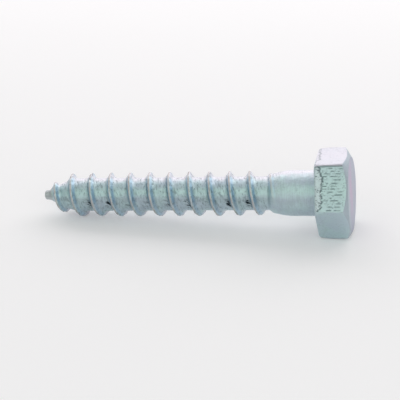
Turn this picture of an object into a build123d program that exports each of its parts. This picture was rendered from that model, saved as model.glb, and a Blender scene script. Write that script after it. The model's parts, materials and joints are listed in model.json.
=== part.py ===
from build123d import *
import math
import os

# Hexagon-head lag screw for wood: one forged and rolled piece of zinc-plated steel.
#
# The screw is drawn along X. The flat bearing face under the head lies at x = 0, the head
# is on its +X side and the point on its -X side. Angles about X are counted from +Y
# towards +Z. At the end the screw is laid on a table as it comes to rest, one flat of the
# head and one crest of the thread touching. Millimetres and degrees.

# ---- head ------------------------------------------------------------------------------
across_flats = 17.0
head_height = 7.0
head_land_diameter = 16.0        # flat disc that the chamfer leaves on the end of the head
head_chamfer_angle = 30.0        # between the chamfer and the end of the head
rim_radius = 0.55                # rounding where the flats meet the bearing face
rim_corner_diameter = 18.9       # the six corners are forged in to this size at the rim
rim_corner_length = 2.6          # and reach their full size this far up the head

# ---- shank -----------------------------------------------------------------------------
shank_diameter = 9.9
shank_length = 6.6               # full-size part, from the bearing face
under_head_fillet = 0.35         # small cone where the shank meets the head
shoulder_length = 3.3            # slow cone from the shank down to the shoulder's foot
foot_diameter = 8.6              # size at the foot of that cone
foot_length = 0.7                # steep step from the foot down to the core
length_under_head = 62.2

# ---- core and point --------------------------------------------------------------------
core_diameter = 7.35
nose_diameter = 2.2
nose_length = 1.2                # blunt stub at the very end
nose_chamfer = 0.45
point_half_angle = 27.0
blend_half_angle = 12.0          # slower cone that runs the point into the core
blend_length = 2.7

# ---- thread ----------------------------------------------------------------------------
thread_diameter = 9.8
pitch = 4.5
crest_width = 0.42
flank_angle = 60.0               # between the two flanks
root_height = 0.55               # the flanks spread into the core over this height
root_spread = 0.9                # how far they spread, for each unit of that height
thread_start_angle = -45.0       # where the ridge begins, about X
thread_start_depth = 0.75        # how far that is from the end of the nose
lead_in_turns = 0.5              # the ridge climbs out of the nose over this much turn
lead_in_diameter = 6.8           # crest size at the end of the lead-in
thread_taper_length = 7.0        # crest is full size this far from the end of the nose
run_out_turns = 1.0              # the ridge sinks into the shoulder's foot over this much turn
run_out_diameter = 8.2           # crest size where the ridge ends
sections_per_turn = 12

os.makedirs("parts", exist_ok=True)

# ---- values worked out from the sizes above ----------------------------------------------
shank_radius = shank_diameter / 2
core_radius = core_diameter / 2
nose_radius = nose_diameter / 2
thread_radius = thread_diameter / 2
half_flats = across_flats / 2
tip_x = -length_under_head
nose_x = tip_x + nose_length
point_slope = math.tan(math.radians(point_half_angle))
flank_slope = math.tan(math.radians(flank_angle / 2))
blend_radius = core_radius - blend_length * math.tan(math.radians(blend_half_angle))
blend_start_x = nose_x + (blend_radius - nose_radius) / point_slope
blend_end_x = blend_start_x + blend_length
shoulder_x = -shank_length - shoulder_length
core_end_x = shoulder_x - foot_length
sunk = 0.2                       # how deep the ridge's feet are set into the core
ridge_half_width = crest_width / 2 + (thread_radius - core_radius) * flank_slope
ridge_start_x = tip_x + thread_start_depth
ridge_end_x = shoulder_x + ridge_half_width
lead_in_end_x = ridge_start_x + lead_in_turns * pitch
full_crest_x = tip_x + thread_taper_length
run_out_x = ridge_end_x - run_out_turns * pitch
corner_radius = half_flats / math.cos(math.radians(30))
land_radius = head_land_diameter / 2
chamfer_width = 1.5 * (corner_radius - land_radius)
chamfer_depth = chamfer_width * math.tan(math.radians(head_chamfer_angle))


def along(x, stops):
    """Value at x on the broken line through the stops, each an (x, value) pair."""
    for (x_low, low), (x_high, high) in zip(stops, stops[1:]):
        if x <= x_high:
            return low + (high - low) * (x - x_low) / (x_high - x_low)
    return stops[-1][1]


def core_surface(x):
    """Radius of the core at x: the nose, the point's two cones, then the straight core."""
    stops = [
        (nose_x, nose_radius),
        (blend_start_x, blend_radius),
        (blend_end_x, core_radius),
    ]
    return max(nose_radius, along(x, stops))


def crest_surface(x):
    """Radius of the thread's crest at x, from inside the nose to inside the shoulder."""
    stops = [
        (ridge_start_x, nose_radius / 2),
        (lead_in_end_x, lead_in_diameter / 2),
        (full_crest_x, thread_radius),
        (run_out_x, thread_radius),
        (ridge_end_x, run_out_diameter / 2 - sunk),
    ]
    return along(x, stops)


def ridge_angle(x):
    """Angle about X at which the ridge passes x: one turn for each pitch, right-handed."""
    return thread_start_angle + 360 * (x - ridge_start_x) / pitch


# Head: hexagonal prism with flats up and down. One cone chamfers its end, and a steeper one
# takes the corners in towards the rim.
with BuildPart() as head:
    with BuildSketch(Plane.YZ):
        RegularPolygon(half_flats, 6, major_radius=False)
    extrude(amount=head_height)
    fillet(head.faces().sort_by(Axis.X)[0].edges(), rim_radius)
    with BuildSketch(Plane.XZ):
        with BuildLine():
            Polyline(
                (0, 0),
                (head_height, 0),
                (head_height, land_radius),
                (head_height - chamfer_depth, land_radius + chamfer_width),
                (rim_corner_length, corner_radius),
                (0, rim_corner_diameter / 2),
                close=True,
            )
        make_face()
    revolve(axis=Axis.X, mode=Mode.INTERSECT)

# Blank: nose, the point's two cones, core, shoulder and shank in one turning, with a small
# cone under the head. It reaches a little way into the head.
with BuildPart() as blank:
    with BuildSketch(Plane.XZ):
        with BuildLine():
            Polyline(
                (tip_x, 0),
                (tip_x, nose_radius - nose_chamfer),
                (tip_x + nose_chamfer, nose_radius),
                (nose_x, nose_radius),
                (blend_start_x, blend_radius),
                (blend_end_x, core_radius),
                (core_end_x, core_radius),
                (shoulder_x, foot_diameter / 2),
                (-shank_length, shank_radius),
                (-under_head_fillet, shank_radius),
                (0, shank_radius + under_head_fillet),
                (head_height / 2, shank_radius),
                (head_height / 2, 0),
                close=True,
            )
        make_face()
    revolve(axis=Axis.X)

# Thread: one length of ridge for each turn, lofted through sections that stand in planes
# through the screw's axis at even steps of the helix.
turns = (ridge_end_x - ridge_start_x) / pitch
pieces = math.ceil(turns)
sections = math.ceil(turns * sections_per_turn / pieces)
ridge = []
for piece in range(pieces):
    with BuildPart() as turn:
        for section in range(sections + 1):
            share = (piece + section / sections) / pieces
            x = ridge_start_x + share * (ridge_end_x - ridge_start_x)
            crest = crest_surface(x)
            root = min(core_surface(x), crest - sunk)
            spread = min(root_height, (crest - root) / 2)
            half_crest = crest_width / 2 * min(1, (crest - root) / root_height)
            half_flank = half_crest + (crest - root - spread) * flank_slope
            half_foot = half_flank + (spread + sunk) * root_spread
            with BuildSketch(Plane(Location((x, 0, 0), (ridge_angle(x), 0, 0)))):
                with BuildLine():
                    Polyline(
                        (-half_foot, root - sunk),
                        (-half_flank, root + spread),
                        (-half_crest, crest),
                        (half_crest, crest),
                        (half_flank, root + spread),
                        (half_foot, root - sunk),
                        close=True,
                    )
                make_face()
        loft()
    ridge.append(turn.part)

with BuildPart() as whole:
    add(head.part)
    add(blank.part)
    add(ridge)

# At rest: the rim of the lowest flat and the crest that comes down first carry the screw.
first_down = (-90 - thread_start_angle) % 360 / 360
crests_down = [ridge_start_x + (first_down + turn) * pitch for turn in range(pieces)]
rest_tilt = min(
    math.degrees(math.atan2(half_flats - crest_surface(x), rim_radius - x)) for x in crests_down
)
laid = whole.part.rotate(Axis.Y, -rest_tilt).bounding_box()
with BuildPart() as lag_screw:
    with Locations(Location((-laid.center().X, 0, -laid.min.Z), (0, -rest_tilt, 0))):
        add(whole.part)

lag_screw.part.label = "lag_screw"
export_step(lag_screw.part, "parts/lag_screw.step")
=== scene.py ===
import json
import math

import bpy
import numpy as np
from mathutils import Matrix, Vector


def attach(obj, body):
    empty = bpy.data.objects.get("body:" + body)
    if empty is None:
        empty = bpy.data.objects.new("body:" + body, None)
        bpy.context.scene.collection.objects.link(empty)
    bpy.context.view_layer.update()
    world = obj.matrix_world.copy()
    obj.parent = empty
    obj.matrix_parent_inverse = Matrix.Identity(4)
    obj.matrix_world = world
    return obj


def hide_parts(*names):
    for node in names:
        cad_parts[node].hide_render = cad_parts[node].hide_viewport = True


# Looks of the zinc-plated hexagon-head lag screw. The screw is drawn along its own axis, in
# millimetres: the bearing face under the head lies at x = 0, the head is on its +x side and
# the point on its -x side, and angles run about the axis from +y towards +z. It is then laid
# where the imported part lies.

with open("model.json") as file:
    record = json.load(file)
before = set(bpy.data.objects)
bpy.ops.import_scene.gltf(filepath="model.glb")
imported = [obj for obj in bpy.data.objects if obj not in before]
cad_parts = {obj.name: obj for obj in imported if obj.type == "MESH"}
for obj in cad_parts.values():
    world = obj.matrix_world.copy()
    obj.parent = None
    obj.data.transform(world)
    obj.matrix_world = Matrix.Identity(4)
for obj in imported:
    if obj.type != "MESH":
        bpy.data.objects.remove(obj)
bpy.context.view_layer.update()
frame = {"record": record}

MM = 0.001
TURN = 2 * math.pi
HAIR = 0.001                     # to tell on which side of an edge a point lies

# ---- head ----
HALF_FLATS = 8.5
HEAD_HEIGHT = 7.0
LAND_RADIUS = 8.0
CHAMFER_SLOPE = math.tan(math.radians(30.0))
RIM_RADIUS = 0.55
RIM_CORNER_RADIUS = 9.45
RIM_CORNER_LENGTH = 2.6
CORNER_RADIUS = HALF_FLATS / math.cos(math.radians(30.0))
FRONT_FLAT = 2
CORNER_ROUNDING = 0.22
EDGE_ROUNDING = 0.16
CHAMFER_OFF_CENTRE = 0.4         # how far below the axis the chamfer was turned
HEAD_LEAN = 0.2                  # how far the top of the head leans towards the point
FOOT_LEAN = 0.04                 # the same for its bottom
LEAN_POWER = 1.5                 # over 1 it gathers the lean towards the top
FLAT_TWIST = 2.4                 # degrees that the front flat is out of true at its far end
TWIST_LENGTH = HEAD_HEIGHT - 1.0 # how far up the head that end is

# ---- shank and core ----
SHANK_RADIUS = 4.95
SHANK_LENGTH = 6.6
UNDER_HEAD_RADIUS = 0.35
SHOULDER_LENGTH = 3.3
FOOT_RADIUS = 4.3
FOOT_LENGTH = 0.7
CORE_RADIUS = 3.675
TIP_X = -62.2
NOSE_X = TIP_X + 0.01
NOSE_RADIUS = 1.1
NOSE_LENGTH = 1.2
NOSE_CHAMFER = 0.45
POINT_SLOPE = math.tan(math.radians(27.0))
POINT_ROUNDING = 1.3
NOSE_BLEND, FOOT_BLEND, SHOULDER_BLEND, SHANK_BLEND = 0.3, 0.2, 0.25, 0.2    # rounded corners
SHOULDER_X = -SHANK_LENGTH - SHOULDER_LENGTH
ONE_DEGREE = CORE_RADIUS * TURN / 360    # its arc round the core

# ---- thread ----
THREAD_RADIUS = 4.9
PITCH = 4.5
CREST_WIDTH = 0.42
FLANK_SLOPE = math.tan(math.radians(30.0))
ROOT_ROUNDING = 0.9
CREST_ROUNDING = 0.1
START_ANGLE = math.radians(-45.0)
START_X = TIP_X + 0.75
LEAD_IN_TURNS = 0.5
LEAD_IN_RADIUS = 3.4
FULL_CREST_X = TIP_X + 7.0
RUN_OUT_TURNS = 1.0
RUN_OUT_RADIUS = 3.9
RIDGE_HALF_WIDTH = CREST_WIDTH / 2 + (THREAD_RADIUS - CORE_RADIUS) * FLANK_SLOPE
END_X = SHOULDER_X + RIDGE_HALF_WIDTH
FIRST_TURN_SHIFT = 0.55          # how far the thread's first end lies up from the even pitch

# ---- wear, pits and a line of painted shade ----
# Low on the front, pits lie on the point side of the ridge's foot, and these are their depths, as a share
# of the deepest, by turn. A dark line of painted shade runs along that flank nearer the crest.
PIT_SHARES = np.array([0.4, 0.25, 0.75, 0.8, 0.45, 0.45, 0.6, 1.0, 0.4, 0.75, 1.0, 0.25, 0.1])
PIT_ANGLES = ((192.0, 19.0, 1.0), (320.0, 16.0, 0.7), (50.0, 14.0, 0.6))   # middle, width, share
PIT_OFF = 1.2                   # from the middle of the ridge, towards the point
PIT_REACH = 0.75
PIT_DEPTH = 0.1
# where the line of painted shade lies on the point-side flank, from the middle of the ridge
SHADE_LINE_OFF = 0.64
CREST_WEAR = 0.11
RIDGE_WAVER = 0.03               # how far the ridge strays along the axis
BATTERED_TURN_X = START_X + 2.2 * PITCH   # where the crest was knocked flat, how far along it
BATTERED_REACH = 1.2                      # and how deep
BATTERED_DEPTH = 0.3
SKIN_UNEVENNESS = 0.025

# ---- marks on the head's six flats, from the one at 30 degrees on, each from 0 to 1 ----
# The drag shares also weigh the painted green sheen on those flats.
DRAG_SHARES = np.array([0.15, 0.12, 1.0, 0.05, 0.15, 0.1])
SHEAR_SHARES = np.array([0.5, 0.5, 1.0, 0.1, 0.4, 0.5])

# ---- how finely the skin is divided ----
ROWS_PER_PITCH = 36
ROW_CROWDING = 1.4               # over 1 it draws the rows together on the ridge's crest
EVEN_COLUMNS = 120
EDGE_COLUMNS = (-1.4, -0.9, -0.45, 0.45, 0.9, 1.4)     # degrees from each of the long edges
CUT_PAST_NOSE, CUT_PAST_THREAD = 0.05, 0.4    # where the helical rows stop at either end
SHANK_STEP, SHANK_GAP = 0.25, 0.1 # between the shank's rows, and least to the fillet's first
FILLET_STEPS, FACE_STEPS, RIM_STEPS, NOSE_STEPS = 7, 9, 8, 7
LOWEST_SIDE = 0.05               # the rim's rounding reads the head's side no lower than this
SIDE_SHARES = (0.01, 0.03, 0.08, 0.15, 0.24, 0.34, 0.45, 0.56, 0.67, 0.78, 0.87, 0.94, 0.975, 0.99, 1.0)
CHAMFER_SHARES = (0.03, 0.08, 0.2, 0.5, 0.8, 0.92, 0.97)
END_SHARES = (1.0, 0.99, 0.975, 0.95, 0.9, 0.8, 0.7, 0.6, 0.5, 0.4, 0.3, 0.2, 0.1, 0.04)
NOSE_SHARES = (0.15, 0.4, 0.7, 0.9)


def soft_min(a, b, width):
    """The smaller of a and b, with the corner between them rounded by a parabola where they
    are less than width apart."""
    share = np.clip(0.5 + 0.5 * (b - a) / width, 0, 1)
    return b + (a - b) * share - width * share * (1 - share)


def soft_max(a, b, width):
    """The larger of a and b, rounded in the same way."""
    return -soft_min(-a, -b, width)


def ripples(x, y, z, length, count, seed):
    """Smooth unevenness between about -1 and 1: the sum of count cosine waves in random
    directions, each about length long, over the square root of their count."""
    random = np.random.default_rng(seed)
    direction = random.normal(size=(count, 3))
    direction /= np.linalg.norm(direction, axis=1)[:, None]
    wave = direction * (TURN / length * random.uniform(0.6, 1.5, count))[:, None]
    phase = random.uniform(0, TURN, count)
    total = np.zeros(np.shape(x))
    for (a, b, c), start in zip(wave, phase):
        total += np.cos(a * x + b * y + c * z + start)
    return total / math.sqrt(count)


def column_angles():
    """Angles about the axis at which the skin is divided: even steps, with closer ones on
    both sides of each of the head's six long edges."""
    even = np.arange(EVEN_COLUMNS) * TURN / EVEN_COLUMNS
    edges = np.arange(6) * TURN / 6
    close = np.radians(EDGE_COLUMNS)
    return np.sort(np.concatenate([even, (edges[:, None] + close[None, :]).ravel() % TURN]))


def blank_radius(x):
    """Radius of the screw without its thread: nose, cone of the point, core, foot of the
    shoulder, slow cone and shank, each line cut by the next with a rounded corner."""
    cone = NOSE_RADIUS + (x - TIP_X - NOSE_LENGTH) * POINT_SLOPE
    nose = soft_max(cone, NOSE_RADIUS + 0 * x, NOSE_BLEND)
    point = soft_min(nose, CORE_RADIUS + 0 * x, POINT_ROUNDING)
    step = CORE_RADIUS + (FOOT_RADIUS - CORE_RADIUS) * (x - SHOULDER_X + FOOT_LENGTH) / FOOT_LENGTH
    rise = FOOT_RADIUS + (SHANK_RADIUS - FOOT_RADIUS) * (x - SHOULDER_X) / SHOULDER_LENGTH
    shoulder = soft_min(step, rise, SHOULDER_BLEND)
    return soft_min(soft_max(point, shoulder, FOOT_BLEND), SHANK_RADIUS + 0 * x, SHANK_BLEND)


def crest_radius(x):
    """Radius of the thread's crest: it climbs out of the nose, reaches full size and sinks
    into the shoulder's foot."""
    lead_in_end = START_X + LEAD_IN_TURNS * PITCH
    run_out_start = END_X - RUN_OUT_TURNS * PITCH
    stops = [START_X, lead_in_end, FULL_CREST_X, run_out_start, END_X]
    sizes = [NOSE_RADIUS / 2, LEAD_IN_RADIUS, THREAD_RADIUS, THREAD_RADIUS, RUN_OUT_RADIUS]
    return np.interp(x, stops, sizes)


def from_ridge(x, angle):
    """How far x is along the axis from the middle of the nearest turn of the ridge. The first
    turn lies a little further up than the even pitch puts it, by a smooth step that ends a
    turn on."""
    turns = (x - START_X) / PITCH - (angle - START_ANGLE) / TURN
    nearest = np.round(turns)
    share = np.clip(1 - (x - START_X) / PITCH + (turns - nearest), 0, 1)
    return (turns - nearest) * PITCH - FIRST_TURN_SHIFT * share * share * (3 - 2 * share)


def bump(x, middle, width):
    """A bell with height 1 at the middle: e to the power of minus the square of the distance
    in widths."""
    return np.exp(-(((x - middle) / width) ** 2))


def around(x, angle, radius=CORE_RADIUS):
    """Points on a cylinder about the axis, to read unevenness at."""
    return x, radius * np.cos(angle), radius * np.sin(angle)


def pits(x, angle):
    """Share, from 0 to 1, of the pitted patches beside the ridge's foot: a bell across the
    groove times a bell about the axis, for each of the patches, times the depth of the turn."""
    off = from_ridge(x, angle)
    middle = x - off
    turn = np.clip(np.floor((middle - START_X) / PITCH).astype(int), 0, len(PIT_SHARES) - 1)
    on_ridge = (middle >= START_X) & (middle <= END_X)
    patches = 0
    for place, width, share in PIT_ANGLES:
        patches = patches + share * bump(angle % TURN, math.radians(place), math.radians(width))
    return np.where(on_ridge, bump(off, -PIT_OFF, PIT_REACH) * patches * PIT_SHARES[turn], 0)


def screw_radius(x, angle):
    """Radius of the threaded part: the larger of the blank and a ridge with a flat crest and
    straight flanks, with the corner at the ridge's foot rounded, less the wear, a faint
    unevenness and the pits."""
    off = from_ridge(x, angle)
    there = around(x, angle)
    away = np.abs(off + RIDGE_WAVER * ripples(*there, length=3.0, count=10, seed=2))
    middle = x - off
    on_ridge = (middle >= START_X) & (middle <= END_X)
    nicks = np.clip(0.35 + 0.6 * ripples(*there, length=1.1, count=20, seed=3), 0, 1)
    knocks = np.clip(0.6 + ripples(*there, length=1.0, count=12, seed=8), 0, 1.2)
    battered = bump(middle, BATTERED_TURN_X, BATTERED_REACH) * knocks
    crest = crest_radius(middle) - CREST_WEAR * nicks - BATTERED_DEPTH * battered
    flank = crest - (away - CREST_WIDTH / 2) / FLANK_SLOPE
    ridge = soft_min(crest, flank, CREST_ROUNDING)
    radius = soft_max(blank_radius(x), np.where(on_ridge, ridge, 0.0), ROOT_ROUNDING)
    uneven = np.clip(0.5 + 0.5 * ripples(*there, length=2.2, count=20, seed=4), 0, 1.5)
    broken = np.clip(0.5 + 0.8 * ripples(*there, length=0.9, count=20, seed=6), 0, 1)
    return radius - SKIN_UNEVENNESS * uneven - PIT_DEPTH * broken * pits(x, angle)


def hexagon_radius(x, angle):
    """Distance from the axis to the head's flats: the least of each flat's distance over the
    cosine of the angle from its normal, with the long edges rounded. A flat that faces more
    than 60 degrees away counts as far off. The front flat turns about one of its long edges
    a little as it goes away from the rim."""
    twist = np.radians(FLAT_TWIST) * np.clip(x / TWIST_LENGTH, 0, 1)
    far_off = 2 * CORNER_RADIUS
    radius = far_off + 0 * angle
    for flat in range(6):
        normal = (flat + 0.5) * TURN / 6
        distance = HALF_FLATS
        if flat == FRONT_FLAT:
            normal = normal - twist
            distance = CORNER_RADIUS * np.cos(TURN / 12 + twist)
        towards = np.cos(angle - normal)
        reach = np.where(towards > 0.5, distance / np.maximum(towards, 0.5), far_off)
        radius = soft_min(radius, reach, CORNER_ROUNDING)
    return radius


def land_radius(angle):
    """Radius of the flat end of the head, whose centre lies a little below the axis."""
    return LAND_RADIUS - CHAMFER_OFF_CENTRE * np.sin(angle)


def chamfer_foot(angle):
    """Where the chamfer meets the side of the head, for each angle about the axis."""
    cut_away = hexagon_radius(HEAD_HEIGHT + 0 * angle, angle) - land_radius(angle)
    return HEAD_HEIGHT - cut_away * CHAMFER_SLOPE


def head_side_radius(x, angle):
    """Radius of the head's side: the hexagon, cut by the cone that takes the corners in
    towards the rim and by the chamfer's cone at the end."""
    share = x / RIM_CORNER_LENGTH
    corner = RIM_CORNER_RADIUS + (CORNER_RADIUS - RIM_CORNER_RADIUS) * share
    chamfer = land_radius(angle) + (HEAD_HEIGHT - x) / CHAMFER_SLOPE
    side = soft_min(hexagon_radius(x, angle), corner, EDGE_ROUNDING)
    return soft_min(side, chamfer, EDGE_ROUNDING)


def lean(x, z):
    """How far the head's skin is shifted along the axis: more and more towards the top, where
    the whole head leans towards the point, and a little towards its lowest side."""
    top = HEAD_LEAN * np.clip(z / HALF_FLATS, 0, 1) ** LEAN_POWER
    bottom = FOOT_LEAN * np.clip(-z / HALF_FLATS, 0, 1)
    return -(top + bottom) * np.clip((x + UNDER_HEAD_RADIUS) / UNDER_HEAD_RADIUS, 0, 1)


def head_rows(angle):
    """Rows of the head's skin, from the foot of the shank's fillet to the middle of the end:
    each is an array of x and an array of radii, one value for each column."""
    rows = []
    for step in np.radians(np.linspace(0, 90, FILLET_STEPS)):
        x = -UNDER_HEAD_RADIUS + UNDER_HEAD_RADIUS * math.sin(step)
        radius = SHANK_RADIUS + UNDER_HEAD_RADIUS * (1 - math.cos(step))
        rows.append((x + 0 * angle, radius + 0 * angle))
    inner = SHANK_RADIUS + UNDER_HEAD_RADIUS
    shrink = (HALF_FLATS - RIM_RADIUS) / HALF_FLATS
    rim = head_side_radius(0 * angle + RIM_RADIUS, angle) * shrink
    for share in np.linspace(0, 1, FACE_STEPS)[1:-1]:
        rows.append((0 * angle, inner + (rim - inner) * share))
    for step in np.radians(np.linspace(0, 90, RIM_STEPS)):
        x = RIM_RADIUS * (1 - math.cos(step))
        side = head_side_radius(0 * angle + max(x, LOWEST_SIDE), angle)
        radius = side * (1 - (RIM_RADIUS / HALF_FLATS) * (1 - math.sin(step)))
        rows.append((x + 0 * angle, radius))
    foot = chamfer_foot(angle)
    for share in SIDE_SHARES:
        x = RIM_RADIUS + (foot - RIM_RADIUS) * share
        rows.append((x, head_side_radius(x, angle)))
    for share in CHAMFER_SHARES:
        x = foot + (HEAD_HEIGHT - foot) * share
        rows.append((x, head_side_radius(x, angle)))
    for share in END_SHARES:
        rows.append((HEAD_HEIGHT + 0 * angle, land_radius(angle) * share))
    return rows


def tip_rows(angle):
    """Rows of the nose's skin, from the middle of its end to where the thread begins."""
    rows = []
    end = NOSE_RADIUS - NOSE_CHAMFER
    for share in NOSE_SHARES:
        rows.append((NOSE_X + 0 * angle, end * share + 0 * angle))
    for step in np.radians(np.linspace(0, 90, NOSE_STEPS)):
        x = NOSE_X + NOSE_CHAMFER * (1 - math.cos(step))
        rows.append((x + 0 * angle, end + NOSE_CHAMFER * math.sin(step) + 0 * angle))
    return rows


def shank_rows(angle, start):
    """Rows of the shank's skin, from the end of the threaded part to the fillet's foot."""
    rows = []
    for x in np.arange(start + SHANK_STEP, -UNDER_HEAD_RADIUS - SHANK_GAP, SHANK_STEP):
        rows.append((x + 0 * angle, screw_radius(x + 0 * angle, angle)))
    return rows


def screw_skin():
    """The whole skin as one closed surface. Over the thread its rows follow the helix: row
    i and angle a lie at x = start + pitch * (level of i + a / turn), so that one turn on,
    the last column meets the first one a pitch further up. Both ends of that stretch are
    cut square: points that would lie past the cut move onto it and are joined there. Plain
    rings of points go on from the cuts to the middle of the nose and of the head's end."""
    angle = column_angles()
    count = len(angle)
    low = TIP_X + NOSE_CHAMFER + CUT_PAST_NOSE
    high = END_X + CUT_PAST_THREAD
    half = ROWS_PER_PITCH // 2
    share = np.arange(-half + 1, half + 1) / half
    levels = 0.5 * np.sign(share) * np.abs(share) ** ROW_CROWDING
    first = math.floor((low - START_X) / PITCH) - 2
    last = math.ceil((high - START_X) / PITCH) + 2
    level = (np.arange(first, last + 1)[:, None] + levels[None, :]).ravel()
    lines = len(level)
    x = START_X + PITCH * (level[:, None] + (angle[None, :] - START_ANGLE) / TURN)
    x = np.clip(x, low, high)
    angles_there = np.broadcast_to(angle, x.shape)
    radius = screw_radius(x, angles_there)
    number = np.arange(lines * count).reshape(lines, count)
    low_ring = number.max() + 1 + np.arange(count)
    high_ring = low_ring + count
    number = np.where(x <= low, low_ring[None, :], number)
    number = np.where(x >= high, high_ring[None, :], number)
    beyond = np.concatenate([number[ROWS_PER_PITCH:, 0], np.full(ROWS_PER_PITCH, high_ring[0])])
    number = np.concatenate([number, beyond[:, None]], axis=1)
    low_x, high_x = np.full(count, low), np.full(count, high)
    xs = [x.ravel(), low_x, high_x]
    radii = [radius.ravel(), screw_radius(low_x, angle), screw_radius(high_x, angle)]
    angles = [angles_there.ravel(), angle, angle]
    grids = [number]

    def add_rings(rings, before, after):
        """Adds plain rings of points between two rings that are there, or beside one."""
        start = sum(len(part) for part in xs)
        ids = start + np.arange(len(rings) * count).reshape(len(rings), count)
        for ring_x, ring_radius in rings:
            xs.append(ring_x)
            radii.append(ring_radius)
            angles.append(angle)
        table = [before] if before is not None else []
        table = np.vstack(table + [ids] + ([after] if after is not None else []))
        grids.append(np.concatenate([table, table[:, :1]], axis=1))
        return ids

    tip_ids = add_rings(tip_rows(angle), None, low_ring)
    head_ids = add_rings(shank_rows(angle, high) + head_rows(angle), high_ring, None)
    corners = []
    for table in grids:
        a, b, c, d = table[:-1, :-1], table[:-1, 1:], table[1:, 1:], table[1:, :-1]
        corners.append(np.stack([a, b, c], axis=-1).reshape(-1, 3))
        corners.append(np.stack([a, c, d], axis=-1).reshape(-1, 3))
    total = sum(len(part) for part in xs)
    for pole, ring, turned in ((total, tip_ids[0], True), (total + 1, head_ids[-1], False)):
        after = np.roll(ring, -1)
        fan = [np.full(count, pole), after, ring] if turned else [np.full(count, pole), ring, after]
        corners.append(np.stack(fan, axis=-1))
    xs += [np.array([NOSE_X]), np.array([HEAD_HEIGHT])]
    radii += [np.zeros(1), np.zeros(1)]
    angles += [np.zeros(1), np.zeros(1)]
    faces = np.vstack(corners)
    a, b, c = faces.T
    faces = faces[(a != b) & (b != c) & (c != a)]
    used, faces = np.unique(faces, return_inverse=True)
    x, radius, angle = (np.concatenate(parts)[used] for parts in (xs, radii, angles))
    return x, radius, angle, faces.reshape(-1, 3)


def screw_place():
    """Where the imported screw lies: the middle of its bearing face in metres and the turn
    from its own axes to the room's, read from the hexagon's mount."""
    drive = next(m for m in frame["record"]["mounts"] if m["name"] == "hexagon_drive")
    towards_head = Vector(drive["axis"]).normalized()
    side = Vector((0, 1, 0))
    turn = Matrix((towards_head, side, towards_head.cross(side))).transposed()
    middle = Vector(drive["pos_m"]) - towards_head * (HEAD_HEIGHT / 2 * MM)
    return middle, turn


def make_screw():
    """The screw's mesh, laid in its place, with every face smooth."""
    x, radius, angle, faces = screw_skin()
    leaning = x + lean(x, radius * np.sin(angle))
    points = np.stack([leaning, radius * np.cos(angle), radius * np.sin(angle)], axis=-1)
    middle, turn = screw_place()
    points = points @ np.array(turn).T * MM + np.array(middle)
    mesh = bpy.data.meshes.new("plated_screw")
    mesh.vertices.add(len(points))
    mesh.vertices.foreach_set("co", points.ravel())
    mesh.loops.add(faces.size)
    mesh.loops.foreach_set("vertex_index", faces.ravel().astype(np.int32))
    mesh.polygons.add(len(faces))
    mesh.polygons.foreach_set("loop_start", np.arange(len(faces), dtype=np.int32) * 3)
    mesh.polygons.foreach_set("use_smooth", np.ones(len(faces), dtype=bool))
    mesh.update(calc_edges=True)
    for name, share in finish_shares(x, angle).items():
        mesh.attributes.new(name, "FLOAT", "POINT").data.foreach_set("value", share.astype(np.float32))
    screw = bpy.data.objects.new("plated_screw", mesh)
    bpy.context.collection.objects.link(screw)
    return screw


def finish_shares(x, angle):
    """How much of each local finish a point of the skin has, from 0 to 1: pits, flat sides of
    the head, drag marks and shearing on them, the chamfer and the flat end of the head."""
    foot = chamfer_foot(angle)
    side = (x > RIM_RADIUS * 0.3) & (x < foot + HAIR)
    flat = np.floor((angle % TURN) / (TURN / 6)).astype(int) % 6
    return {
        "pits": pits(x, angle),
        "side": side.astype(float),
        "drag": side * DRAG_SHARES[flat],
        "shear": side * SHEAR_SHARES[flat],
        "chamfer": ((x > foot + HAIR) & (x < HEAD_HEIGHT - HAIR)).astype(float),
        "end": (x > HEAD_HEIGHT - HAIR).astype(float),
    }


# ---- colours of the plating, of its painted highlight, reflection and shade, and of the scale and steel that show where it is broken ----
BLUE_ZINC = (0.52, 0.62, 0.68, 1)
GREEN_ZINC_AND_SHEEN = (0.52, 0.70, 0.67, 1)
PALE_ZINC_AND_HIGHLIGHT = (0.72, 0.71, 0.76, 1)
LAVENDER_ZINC = (0.40, 0.43, 0.53, 1)
PINK_REFLECTION = (0.53, 0.38, 0.54, 1)
TOP_FLAT_HIGHLIGHT = (0.59, 0.58, 0.63, 1)
CHAMFER_ZINC = (0.41, 0.48, 0.53, 1)
NOSE_ZINC = (0.47, 0.50, 0.49, 1)
FLANK_SHADE_BLUE = (0.38, 0.59, 0.78, 1)
WORN_ZINC = (0.57, 0.52, 0.49, 1)
SHADE_LINE_BLUE = (0.05, 0.10, 0.14, 1)
PIT_BLACK = (0.01, 0.02, 0.03, 1)
SCALE_AND_SHADE_GREY = (0.10, 0.15, 0.16, 1)

# ---- where the tints and the painted bands of highlight, reflection and shade lie about the axis: the middle of a band and half its width, degrees ----
# The green band is painted reflection and the pale band is painted highlight.
GREEN_SHEEN_BAND, HIGHLIGHT_BAND = (149.0, 26.0), (86.0, 34.0)       # these two come twice in a turn
# A band of painted light above the front's middle and one of painted shade below it.
PAINTED_LIGHT_BAND, PAINTED_SHADE_BAND = (125.0, 32.0), (176.0, 20.0)
PAINTED_LIGHTER, PAINTED_DARKER = 0.24, 0.15
WANDER_DEGREES = 30.0            # how far the bands' edges wander
FLANKS_FROM, FLANKS_FULL = 115.0, 150.0    # the flanks' painted blue shade grows between these
FRONT_EDGE_Y = (-7.5, -3.5)      # between these the head's end goes over to the chamfer's tint
PINK_SPOT_Y, PINK_SPOT_Z = -1.2, 1.0       # the patch of painted pink reflection on the end of the head
PINK_SPOT_RADIUS = 5.0
PINK_SPOT_TALL = 2.0             # how many times as high as wide it is
PINK_SPOT_WAVER = 9.0            # how far its edges wander

# ---- how much of each tint and of each painted light and shade there is, from 0 to 1 ----
GREEN_SHEEN_SHARE, DRIFT_SHARE = 0.95, 0.5
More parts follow.
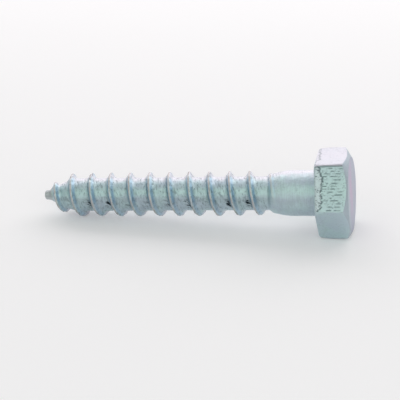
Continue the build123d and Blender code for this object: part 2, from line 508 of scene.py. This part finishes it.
# On the head: painted green sheen on the dragged flats, a painted highlight tint on the top flat, painted
# pink reflection on the end.
DRAG_FLAT_SHEEN, TOP_HIGHLIGHT_SHARE, CHAMFER_TINT, NOSE_TINT, PINK_REFLECTION_SHARE = 0.75, 0.9, 0.9, 0.85, 0.9
NOSE_FADE = 1.4                  # how far past the nose its tint fades out
FLANK_SHADE_SHARE, FLANK_FADE = 0.9, 0.8          # of the painted blue shade on the flanks, and lost where the painted pale highlight is
LEAST_WORN, MOST_WORN = 0.55, 0.95         # of the crests' worn tint
RING_ON_THREAD, RING_ON_SHANK = 0.1, 0.5
GRAIN_TINT, TORN_TINT = 0.5, 0.3           # of the blue in the grain, of the pale torn strips

# ---- how dark each mark and each line of painted shade is, from 0 to 1 ----
RUNG_DARK, SHEAR_DARK, SHADE_LINE_DARK, EDGE_SHADE_DARK = 0.75, 0.85, 0.9, 0.6
SCORE_DARK, FAINT_DARK = 0.5, 0.6
FLECK_SHARE, DRAG_FLECKS, TORN_FLECKS, END_WITHOUT = 0.12, 0.3, 0.8, 0.8

# ---- roughness of the skin, and the heights of its relief in millimetres ----
BARE_ROUGHNESS, GRAIN_ROUGHNESS, BROKEN_ROUGHNESS = 0.27, 0.24, 0.3
RING_HEIGHT, GRAIN_HEIGHT, BROKEN_DEPTH = 0.2, 0.17, 0.08
LEAST_GRAIN, DRAG_GRAIN, TURNED_GRAIN = 0.35, 0.8, 0.65
RELIEF_STRENGTH = 0.7

# ---- clouds: their size in millimetres, their detail and how rough they are ----
WANDER_CLOUD, GRAIN_CLOUD, RING_CLOUD = (1.6, 3.0, 0.6), (0.5, 4.0, 0.7), (2.2, 4.0, 0.7)
TINT_CLOUD, FILM_CLOUD, WEAR_CLOUD = (5.0, 2.0), (4.0, 3.0, 0.5), (2.6, 2.0)
SHADE_LINE_CLOUD, CREASE_CLOUD, PATCH_CLOUD = (2.4, 2.0), (0.75, 2.0, 0.5), (1.0, 2.0, 0.5)
SWAY_CLOUD, RUNG_CLOUD, SHEAR_CLOUD = (2.2, 1.0), (1.0, 1.0), (1.2, 3.0, 0.6)
SPECK_CLOUD, SCORE_CLOUD = (0.32, 2.0, 0.6), (0.8, 4.0, 0.7)
RING_CROWDING = 9.0              # how much closer along the axis than across it the rings lie
SPECK_STRETCH = (0.7, 1.3, 1.3)  # specks are longer along the axis
SCORE_CROWDING = 2.2             # and the slanting scores on the thread

# ---- places of the marks ----
HEAD_FLANK, POINT_FLANK, CREST_BAND = (0.46, 0.4), (-0.5, 0.35), (-0.08, 0.36)   # off the ridge; the flanks' bells place their painted blue shade
SHADE_LINE_WIDTH = 0.2
SHADE_LINE_BANDS = ((132.0, 50.0), (300.0, 60.0))    # where the line of painted shade shows most, degrees
CREASE_ANGLE, CREASE_OFF = 222.0, -2.3   # the point that the creases bend round, in each groove
LOW_BAND = (190.0, 45.0)         # where faint creases go on below the pits, degrees
RUNG_SPACING = 0.64              # of the drag marks across the front flat
RUNG_LENGTH_SPREAD = 4.0
RUNG_BANDS = ((2.7, 0.95), (4.7, 1.3))   # how far up the head the marks' two bands lie
SHEAR_X = 1.6                    # the shear line: how far up the head at the flat's middle,
SHEAR_BOW = -0.035               # how it bends towards the rim on both sides
SHEAR_WAVER = 2.2                # and how ragged it is
TOP_SHEAR_DROP = 1.0             # on the top flat it lies this much nearer the rim
EDGE_SHADE_ANGLE, EDGE_SHADE_WIDTH = 121.3, 1.5        # the upper long edge of the front flat, where painted shade lies, degrees


def link(tree, value, socket):
    """Joins an output to an input, or sets the input to a plain value."""
    if isinstance(value, bpy.types.NodeSocket):
        tree.links.new(value, socket)
    else:
        socket.default_value = value


def calculate(tree, operation, *values):
    """A number worked out from numbers or outputs."""
    node = tree.nodes.new("ShaderNodeMath")
    node.operation = operation
    for value, socket in zip(values, node.inputs):
        link(tree, value, socket)
    return node.outputs["Value"]


def one_by_one(tree, operation, values):
    """The first value joined with each of the others in turn by the same operation."""
    total = values[0]
    for value in values[1:]:
        total = calculate(tree, operation, total, value)
    return total


def plus(tree, *values):
    """All the values added together."""
    return one_by_one(tree, "ADD", values)


def product(tree, *values):
    """All the values multiplied together."""
    return one_by_one(tree, "MULTIPLY", values)


def largest(tree, *values):
    """The largest of the values."""
    return one_by_one(tree, "MAXIMUM", values)


def minus(tree, first, second):
    """The first value less the second."""
    return calculate(tree, "SUBTRACT", first, second)


def wrap(tree, value, low, high):
    """The value moved by whole ranges until it lies between low and high."""
    return calculate(tree, "WRAP", value, high, low)


def root_of_squares(tree, first, second):
    """The root of the sum of both values' squares."""
    return calculate(tree, "SQRT", plus(tree, product(tree, first, first), product(tree, second, second)))


def between(tree, value, low, high, result_low=0.0, result_high=1.0):
    """A smooth step: result_low where the value is under low, result_high where over high."""
    node = tree.nodes.new("ShaderNodeMapRange")
    node.interpolation_type = "SMOOTHSTEP"
    for number, socket in zip((value, low, high, result_low, result_high), node.inputs):
        link(tree, number, socket)
    return node.outputs["Result"]


def bell(tree, value, middle, width):
    """A soft bell that is 1 where the value is at the middle and 0 a width away from it."""
    away = calculate(tree, "ABSOLUTE", minus(tree, value, middle))
    return between(tree, away, 0.0, width, 1, 0)


def combine(tree, x, y, z):
    """A place made of three numbers."""
    node = tree.nodes.new("ShaderNodeCombineXYZ")
    for value, socket in zip((x, y, z), node.inputs):
        link(tree, value, socket)
    return node.outputs["Vector"]


def stretch(tree, place, scale):
    """A place stretched along its three axes."""
    node = tree.nodes.new("ShaderNodeVectorMath")
    node.operation = "MULTIPLY"
    link(tree, place, node.inputs[0])
    node.inputs[1].default_value = scale
    return node.outputs["Vector"]


def cloud(tree, place, size, detail=3.0, roughness=0.55):
    """Smooth random clouds between 0 and 1, about size millimetres across."""
    node = tree.nodes.new("ShaderNodeTexNoise")
    link(tree, place, node.inputs["Vector"])
    node.inputs["Scale"].default_value = 1.0 / size
    node.inputs["Detail"].default_value = detail
    node.inputs["Roughness"].default_value = roughness
    return node.outputs["Fac"]


def blend(tree, share, first, second):
    """A colour between two others."""
    node = tree.nodes.new("ShaderNodeMix")
    node.data_type = "RGBA"
    link(tree, share, node.inputs["Factor"])
    link(tree, first, node.inputs["A"])
    link(tree, second, node.inputs["B"])
    return node.outputs["Result"]


def scale_colour(tree, colour, share):
    """A colour made lighter or darker."""
    node = tree.nodes.new("ShaderNodeVectorMath")
    node.operation = "SCALE"
    link(tree, colour, node.inputs["Vector"])
    link(tree, share, node.inputs["Scale"])
    return node.outputs["Vector"]


def read(tree, name):
    """One of the skin's finish shares."""
    node = tree.nodes.new("ShaderNodeAttribute")
    node.attribute_name = name
    return node.outputs["Fac"]


def own_place(tree):
    """The place on the screw in its own axes, in millimetres: x along it from the bearing
    face, y and z across it."""
    middle, turn = screw_place()
    back = turn.transposed()
    node = tree.nodes.new("ShaderNodeMapping")
    node.inputs["Location"].default_value = -(back @ middle) / MM
    node.inputs["Rotation"].default_value = back.to_euler()
    node.inputs["Scale"].default_value = (1 / MM, 1 / MM, 1 / MM)
    coordinates = tree.nodes.new("ShaderNodeTexCoord")
    tree.links.new(coordinates.outputs["Object"], node.inputs["Vector"])
    return node.outputs["Vector"]


class Skin:
    """What the finishes read at a point of the skin: its place, its angle about the axis, its
    place on a flat, how far it is from the ridge, its finish shares, and the clouds that
    more than one finish uses."""

    def __init__(self, tree):
        self.place = own_place(tree)
        split = tree.nodes.new("ShaderNodeSeparateXYZ")
        tree.links.new(self.place, split.inputs[0])
        self.x, self.y, self.z = split.outputs
        self.side, self.end, self.chamfer = read(tree, "side"), read(tree, "end"), read(tree, "chamfer")
        self.pits, self.drag, self.shear = read(tree, "pits"), read(tree, "drag"), read(tree, "shear")
        self.wander = minus(tree, cloud(tree, self.place, *WANDER_CLOUD), 0.5)
        self.grain = cloud(tree, self.place, *GRAIN_CLOUD)
        ring_place = combine(tree, product(tree, self.x, RING_CROWDING), self.y, self.z)
        self.rings = cloud(tree, ring_place, *RING_CLOUD)
        self.read_angles(tree)
        self.read_ridge(tree)

    def read_angles(self, tree):
        """The angle about the axis, the number of the flat that lies there, the place across
        that flat from its middle, and whether it is the top one."""
        self.angle = calculate(tree, "ARCTAN2", self.z, self.y)
        self.degrees = wrap(tree, product(tree, self.angle, 360 / TURN), 0.0, 360.0)
        turned = minus(tree, self.angle, TURN / 12)
        flat_angle = wrap(tree, turned, -TURN / 12, TURN / 12)
        self.flat = calculate(tree, "ROUND", calculate(tree, "DIVIDE", turned, TURN / 6))
        self.across = product(tree, calculate(tree, "TANGENT", flat_angle), HALF_FLATS)
        self.top_flat = product(tree, self.side, bell(tree, self.flat, 1.0, 0.5))

    def read_ridge(self, tree):
        """How far the place is along the axis from the middle of the nearest turn of the
        ridge, where that middle is, and whether there is a thread."""
        along = calculate(tree, "DIVIDE", minus(tree, self.x, START_X), PITCH)
        self.about = calculate(tree, "DIVIDE", minus(tree, self.angle, START_ANGLE), TURN)
        off = product(tree, wrap(tree, minus(tree, along, self.about), -0.5, 0.5), PITCH)
        turn_x = minus(tree, self.x, off)
        first_shift = between(tree, turn_x, START_X, START_X + PITCH, FIRST_TURN_SHIFT, 0)
        self.off = minus(tree, off, first_shift)
        self.middle = minus(tree, self.x, self.off)
        past_start = between(tree, self.middle, START_X + 0.5, START_X + 2.5)
        before_end = between(tree, self.middle, END_X - 1.5, END_X, 1, 0)
        self.threaded = product(tree, past_start, before_end)


def end_colour(tree, skin):
    """The flat end of the head: lavender, going over to the chamfer's tint at its front edge, with a wide
    soft patch of painted pink reflection, an oval with clouded edges."""
    film = minus(tree, cloud(tree, skin.place, *FILM_CLOUD), 0.5)
    spot_y = plus(tree, skin.y, plus(tree, product(tree, film, PINK_SPOT_WAVER), -PINK_SPOT_Y))
    spot_z = product(tree, minus(tree, skin.z, PINK_SPOT_Z), 1 / PINK_SPOT_TALL)
    from_spot = root_of_squares(tree, spot_y, spot_z)
    # The pink patch is painted reflection.
    pink = between(tree, from_spot, 0.0, PINK_SPOT_RADIUS, PINK_REFLECTION_SHARE, 0)
    front = between(tree, skin.y, *FRONT_EDGE_Y, 1, 0)
    return blend(tree, pink, blend(tree, front, LAVENDER_ZINC, CHAMFER_ZINC), PINK_REFLECTION)


def plating_colour(tree, skin):
    """Tint of the plating: blue that drifts to green at random, a band of painted green reflection on the
    front and a band of painted pale highlight on the top, each twice about the axis, then painted green
    sheen on the dragged flats, a painted highlight tint on the top flat, tints of their own on the chamfer,
    the nose and the end of the head, painted blue shade on the thread's flanks and worn crests on the
    thread."""
    half_turn = plus(tree, wrap(tree, skin.degrees, 0.0, 180.0), product(tree, skin.wander, WANDER_DEGREES))
    # A pale band of painted highlight over the top, and the same underneath.
    pale = bell(tree, half_turn, *HIGHLIGHT_BAND)
    tint = between(tree, cloud(tree, skin.place, *TINT_CLOUD), 0.35, 0.65, 0, DRIFT_SHARE)
    colour = blend(tree, tint, BLUE_ZINC, GREEN_ZINC_AND_SHEEN)
    # A band of painted green reflection over the front, and the same at the back below.
    green = product(tree, bell(tree, half_turn, *GREEN_SHEEN_BAND), GREEN_SHEEN_SHARE)
    colour = blend(tree, green, colour, GREEN_ZINC_AND_SHEEN)
    colour = blend(tree, pale, colour, PALE_ZINC_AND_HIGHLIGHT)
    # Painted green sheen on the dragged flats, most on the front one.
    colour = blend(tree, product(tree, skin.drag, DRAG_FLAT_SHEEN), colour, GREEN_ZINC_AND_SHEEN)
    # A painted highlight tint on the top flat.
    colour = blend(tree, product(tree, skin.top_flat, TOP_HIGHLIGHT_SHARE), colour, TOP_FLAT_HIGHLIGHT)
    colour = blend(tree, product(tree, skin.chamfer, CHAMFER_TINT), colour, CHAMFER_ZINC)
    nose_end = TIP_X + NOSE_LENGTH
    nose = between(tree, skin.x, nose_end, nose_end + NOSE_FADE, NOSE_TINT, 0)
    colour = blend(tree, nose, colour, NOSE_ZINC)
    colour = blend(tree, skin.end, colour, end_colour(tree, skin))

    # Painted blue shade on the thread's flanks, grown towards the front and lost under the painted
    # highlight.
    head_flank = product(tree, bell(tree, skin.off, *HEAD_FLANK), skin.threaded)
    point_flank = product(tree, bell(tree, skin.off, *POINT_FLANK), skin.threaded)
    flanks = product(tree, largest(tree, head_flank, point_flank), FLANK_SHADE_SHARE)
    flanks = product(tree, flanks, minus(tree, 1.0, product(tree, pale, FLANK_FADE)))
    flanks = product(tree, flanks, between(tree, half_turn, FLANKS_FROM, FLANKS_FULL, 0.5, 1))
    colour = blend(tree, flanks, colour, FLANK_SHADE_BLUE)
    crest_off = plus(tree, skin.off, product(tree, skin.wander, 0.3))
    crest = product(tree, bell(tree, crest_off, *CREST_BAND), skin.threaded)
    worn = between(tree, cloud(tree, skin.place, *WEAR_CLOUD), 0.35, 0.55, LEAST_WORN, MOST_WORN)
    return blend(tree, product(tree, crest, worn), colour, WORN_ZINC)


def painted_light_and_rings(tree, skin):
    """How light the plating is drawn, from 1: a band of painted light above the middle of the front and a
    band of painted shade below it, with fine rings, faint on the thread and plain on the shank. The head
    keeps 1."""
    drift = plus(tree, skin.degrees, product(tree, skin.wander, WANDER_DEGREES))
    # Painted light above the middle of the front, painted shade below it.
    level = plus(tree, 1.0, product(tree, bell(tree, drift, *PAINTED_LIGHT_BAND), PAINTED_LIGHTER))
    level = minus(tree, level, product(tree, bell(tree, drift, *PAINTED_SHADE_BAND), PAINTED_DARKER))
    shank_x = SHOULDER_X + 2.0
    ring_share = between(tree, skin.x, SHOULDER_X, shank_x, RING_ON_THREAD, RING_ON_SHANK)
    level = plus(tree, level, product(tree, ring_share, minus(tree, skin.rings, 0.5)))
    on_head = between(tree, skin.x, -0.4, -0.2)
    return plus(tree, product(tree, level, minus(tree, 1.0, on_head)), on_head)


def flank_shade_line(tree, skin):
    """A dark line of painted shade on the ridge's point-side flank, which comes and goes along the ridge
    and shows most in two bands about the axis."""
    line = bell(tree, plus(tree, skin.off, product(tree, skin.wander, 0.35)), -SHADE_LINE_OFF, SHADE_LINE_WIDTH)
    patches = cloud(tree, combine(tree, skin.middle, skin.about, 0.0), *SHADE_LINE_CLOUD)
    strong = between(tree, patches, 0.42, 0.58, 0.35, 1)
    shown = largest(tree, *(bell(tree, skin.degrees, *band) for band in SHADE_LINE_BANDS))
    return product(tree, line, skin.threaded, strong, largest(tree, shown, 0.25))


def creases(tree, skin):
    """Creases that bend round a point in each groove, as clouds drawn out along arcs about
    it: the black ones in the pitted patches, and the faint ones that go on below them."""
    from_angle = wrap(tree, minus(tree, skin.degrees, CREASE_ANGLE), -90.0, 90.0)
    down = product(tree, from_angle, ONE_DEGREE)
    aside = minus(tree, skin.off, CREASE_OFF)
    reach = product(tree, root_of_squares(tree, down, aside), 2.6)
    turn_about = calculate(tree, "ARCTAN2", down, aside)
    arcs = combine(tree, plus(tree, reach, skin.wander), turn_about, product(tree, skin.middle, 2.0))
    crease = cloud(tree, arcs, *CREASE_CLOUD)
    patchy = between(tree, cloud(tree, skin.place, *PATCH_CLOUD), 0.34, 0.46)
    deep = between(tree, skin.pits, 0.15, 0.7)
    pitted = product(tree, between(tree, crease, 0.46, 0.54), deep, patchy)
    low = product(tree, bell(tree, skin.degrees, *LOW_BAND), skin.threaded, bell(tree, skin.off, -1.7, 1.3))
    faint = product(tree, between(tree, crease, 0.53, 0.62), low, FAINT_DARK)
    return pitted, faint


def drag_marks(tree, skin):
    """Drag marks on the dragged flats: straight rungs along the head, at even steps across the
    flat that sway a little, in two bands. Each has its own place, length and strength, read
    from clouds by its number."""
    sway_place = combine(tree, product(tree, skin.x, 0.1), skin.across, skin.flat)
    sway = minus(tree, cloud(tree, sway_place, *SWAY_CLOUD), 0.5)
    rung_at = plus(tree, product(tree, skin.across, 1.0 / RUNG_SPACING), product(tree, sway, 1.2))
    rung = bell(tree, wrap(tree, rung_at, -0.5, 0.5), 0.0, 0.36)
    number = calculate(tree, "ROUND", rung_at)
    own_of = (product(tree, number, 1.37), product(tree, skin.flat, 3.1), product(tree, skin.x, 0.12))
    own = cloud(tree, combine(tree, *own_of), *RUNG_CLOUD)
    strength_place = combine(tree, product(tree, number, 0.83), product(tree, skin.x, 0.6), skin.flat)
    strength = between(tree, cloud(tree, strength_place, *RUNG_CLOUD), 0.34, 0.6, 0.1, 1)
    ragged_x = plus(tree, skin.x, product(tree, minus(tree, own, 0.5), RUNG_LENGTH_SPREAD))
    in_bands = largest(tree, *(bell(tree, ragged_x, *band) for band in RUNG_BANDS))
    bands = between(tree, in_bands, 0.05, 0.6)
    return product(tree, rung, strength, bands, between(tree, skin.drag, 0.4, 0.9))


def shear_line(tree, skin, speck):
    """The ragged line across each flat where its metal was sheared near the rim, and the torn
    strip between that line and the rim."""
    bow = product(tree, skin.across, skin.across, SHEAR_BOW)
    waver = cloud(tree, combine(tree, 0.0, skin.across, skin.flat), *SHEAR_CLOUD)
    waver = product(tree, minus(tree, waver, 0.5), SHEAR_WAVER)
    line_x = minus(tree, plus(tree, bow, waver, SHEAR_X), product(tree, skin.top_flat, TOP_SHEAR_DROP))
    away = minus(tree, skin.x, line_x)
    line = product(tree, bell(tree, away, 0.0, 0.42), between(tree, speck, 0.38, 0.5), skin.shear)
    torn = product(tree, between(tree, away, -0.1, 0.1, 1, 0), skin.shear)
    return line, torn


def flecks(tree, skin, speck, torn, faint):
    """Small dark flecks, more on the dragged flats and the torn strips, fewer on the end, with
    slanting scores on the thread and the faint creases."""
    often = plus(tree, product(tree, skin.drag, DRAG_FLECKS), FLECK_SHARE)
    more = plus(tree, 1.0, product(tree, torn, TORN_FLECKS))
    spots = product(tree, between(tree, speck, 0.56, 0.66), often, more)
    along = product(tree, skin.x, SCORE_CROWDING)
    slant = combine(tree, along, plus(tree, skin.y, skin.x), plus(tree, skin.z, skin.x))
    scores = cloud(tree, slant, *SCORE_CLOUD)
    scored = product(tree, between(tree, scores, 0.5, 0.66), skin.threaded, SCORE_DARK)
    kept = minus(tree, 1.0, product(tree, skin.end, END_WITHOUT))
    return product(tree, largest(tree, spots, scored, faint), kept)


def edge_shade(tree, skin):
    """A dark line of painted shade along the front flat's upper long edge, which leans as the twisted flat
    does.
    """
    edge_angle = plus(tree, skin.degrees, product(tree, skin.x, FLAT_TWIST / HEAD_HEIGHT))
    return product(tree, bell(tree, edge_angle, EDGE_SHADE_ANGLE, EDGE_SHADE_WIDTH), skin.side, EDGE_SHADE_DARK)


def relief(tree, skin, broken):
    """Fine relief: turned rings on the shank and thread, grain that is coarser there and on
    the dragged flats, and marks that lie a little lower than the plating."""
    turned = minus(tree, 1.0, largest(tree, skin.side, skin.end))
    dragged, plain = product(tree, skin.drag, DRAG_GRAIN), product(tree, turned, TURNED_GRAIN)
    coarse = plus(tree, dragged, LEAST_GRAIN, plain)
    ringed = product(tree, skin.rings, turned, RING_HEIGHT)
    height = plus(tree, ringed, product(tree, skin.grain, coarse, GRAIN_HEIGHT))
    height = minus(tree, height, product(tree, broken, BROKEN_DEPTH))
    node = tree.nodes.new("ShaderNodeBump")
    node.inputs["Distance"].default_value = MM
    node.inputs["Strength"].default_value = RELIEF_STRENGTH
    tree.links.new(height, node.inputs["Height"])
    return node.outputs["Normal"]


def zinc():
    """Bright zinc plating over forged and rolled steel: a satin metal in drifting tints, with bands of
    painted highlight, reflection and shade, painted blue shade on the thread's flanks, a dark line of
    painted shade and pits along the ridge, drag marks and a ragged shear line on the head's flats, a dark
    line of painted shade along the front flat's upper edge, and small flecks. It is rougher where it is
    broken and along the lines of painted shade."""
    material = bpy.data.materials.new("bright_zinc")
    material.use_nodes = True
    tree = material.node_tree
    shader = tree.nodes["Principled BSDF"]
    skin = Skin(tree)
    speck = cloud(tree, stretch(tree, skin.place, SPECK_STRETCH), *SPECK_CLOUD)
    flank_shade = flank_shade_line(tree, skin)
    pitted, faint = creases(tree, skin)
    sheared, torn = shear_line(tree, skin, speck)
    # Dark marks: drag marks, the shear line and flecks, with the painted shade along the front flat's upper
    # edge.
    dark = largest(
        tree,
        product(tree, drag_marks(tree, skin), RUNG_DARK),
        product(tree, sheared, SHEAR_DARK),
        flecks(tree, skin, speck, torn, faint),
        edge_shade(tree, skin),
    )
    # Here broken also takes in the lines of painted shade, which are roughened and pressed in as well.
    broken = largest(tree, dark, flank_shade, pitted)

    colour = scale_colour(tree, plating_colour(tree, skin), painted_light_and_rings(tree, skin))
    colour = blend(tree, product(tree, torn, TORN_TINT), colour, PALE_ZINC_AND_HIGHLIGHT)
    grained = product(tree, minus(tree, skin.grain, 0.35), GRAIN_TINT)
    colour = blend(tree, grained, colour, BLUE_ZINC)
    colour = blend(tree, dark, colour, SCALE_AND_SHADE_GREY)
    # The dark blue line of painted shade along the point-side flank.
    colour = blend(tree, product(tree, flank_shade, SHADE_LINE_DARK), colour, SHADE_LINE_BLUE)
    colour = blend(tree, pitted, colour, PIT_BLACK)
    tree.links.new(colour, shader.inputs["Base Color"])
    shader.inputs["Metallic"].default_value = 1.0
    grain_rough = product(tree, skin.grain, GRAIN_ROUGHNESS)
    rough = plus(tree, BARE_ROUGHNESS, grain_rough, product(tree, broken, BROKEN_ROUGHNESS))
    tree.links.new(rough, shader.inputs["Roughness"])
    tree.links.new(relief(tree, skin, broken), shader.inputs["Normal"])
    return material


# ---- floor, lamps and view ----
FLOOR_SIZE = 12.0
NEAR_GLOW, FAR_GLOW = 0.1, 0.42          # near the screw, and from a metre off
NEAR_REACH, FAR_REACH = 0.2, 1.0
LAMP_DISTANCE = 0.5
LAMP_TARGET = Vector((0, 0, 0.008))
ROOM_GREY = (0.5, 0.5, 0.5, 1)
VIEW_TARGET = Vector((1.136, -0.502, 5.411)) * MM
VIEW_AZIMUTH, VIEW_ELEVATION, VIEW_ROLL = 13.212, 25.218, -2.481      # degrees
VIEW_DISTANCE = 246.995 * MM
SENSOR_WIDTH, LENS = 36.0, 101.304


def make_floor():
    """A plain pale floor that stays pale where it runs out of the lamps' reach: it glows a
    little for the view and for gloss, and the more the further off it is."""
    bpy.ops.mesh.primitive_plane_add(size=FLOOR_SIZE, location=(0, 0, 0))
    floor = bpy.context.object
    floor.name = "floor"
    material = bpy.data.materials.new("pale_floor")
    material.use_nodes = True
    tree = material.node_tree
    shader = tree.nodes["Principled BSDF"]
    shader.inputs["Base Color"].default_value = (0.92, 0.92, 0.92, 1)
    shader.inputs["Roughness"].default_value = 0.9
    shader.inputs["Specular IOR Level"].default_value = 0.1
    shader.inputs["Emission Color"].default_value = (1, 1, 1, 1)
    rays = tree.nodes.new("ShaderNodeLightPath").outputs
    seen = largest(tree, rays["Is Camera Ray"], rays["Is Glossy Ray"], rays["Is Transmission Ray"])
    coordinates = tree.nodes.new("ShaderNodeTexCoord")
    length = tree.nodes.new("ShaderNodeVectorMath")
    length.operation = "LENGTH"
    tree.links.new(coordinates.outputs["Object"], length.inputs[0])
    glow = between(tree, length.outputs["Value"], NEAR_REACH, FAR_REACH, NEAR_GLOW, FAR_GLOW)
    tree.links.new(product(tree, seen, glow), shader.inputs["Emission Strength"])
    floor.data.materials.append(material)


def view_direction(azimuth, elevation):
    """The unit vector towards an azimuth and elevation in degrees: azimuth 0 is in front of
    the screw and grows towards the head."""
    a, e = math.radians(azimuth), math.radians(elevation)
    return Vector((math.sin(a) * math.cos(e), -math.cos(a) * math.cos(e), math.sin(e)))


def soft_light(name, azimuth, elevation, size, power, colour):
    """A rectangular soft lamp that looks at the screw from the given direction."""
    lamp = bpy.data.lights.new(name, "AREA")
    lamp.shape = "RECTANGLE"
    lamp.size, lamp.size_y = size
    lamp.energy = power
    lamp.color = colour
    light = bpy.data.objects.new(name, lamp)
    away = view_direction(azimuth, elevation)
    light.location = LAMP_TARGET + away * LAMP_DISTANCE
    light.rotation_euler = (-away).to_track_quat("-Z", "Y").to_euler()
    bpy.context.collection.objects.link(light)


def make_lights():
    """Soft studio light: a wide lamp behind the screw, a weaker one in front and a pale
    room."""
    soft_light("back_panel", 180, 33, size=(1.3, 0.55), power=2.45, colour=(1.0, 0.95, 0.98))
    soft_light("front_panel", 10, 32, size=(1.1, 0.38), power=0.8, colour=(0.96, 1.0, 0.98))
    world = bpy.data.worlds.new("room")
    bpy.context.scene.world = world
    world.use_nodes = True
    world.node_tree.nodes["Background"].inputs["Color"].default_value = ROOM_GREY


def make_camera():
    """A long-lens view from the front, a little above and to the head's side."""
    away = view_direction(VIEW_AZIMUTH, VIEW_ELEVATION)
    data = bpy.data.cameras.new("camera")
    data.sensor_width = SENSOR_WIDTH
    data.lens = LENS
    data.clip_start = 0.01
    camera = bpy.data.objects.new("camera", data)
    camera.location = VIEW_TARGET + away * VIEW_DISTANCE
    look = (-away).to_track_quat("-Z", "Y")
    roll = Matrix.Rotation(math.radians(VIEW_ROLL), 3, "Z").to_quaternion()
    camera.rotation_euler = (look @ roll).to_euler()
    bpy.context.collection.objects.link(camera)
    bpy.context.scene.camera = camera


screw = make_screw()
screw.data.materials.append(zinc())
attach(screw, "root")
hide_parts("lag_screw")
make_floor()
make_lights()
make_camera()
bpy.context.scene.view_settings.view_transform = "Standard"
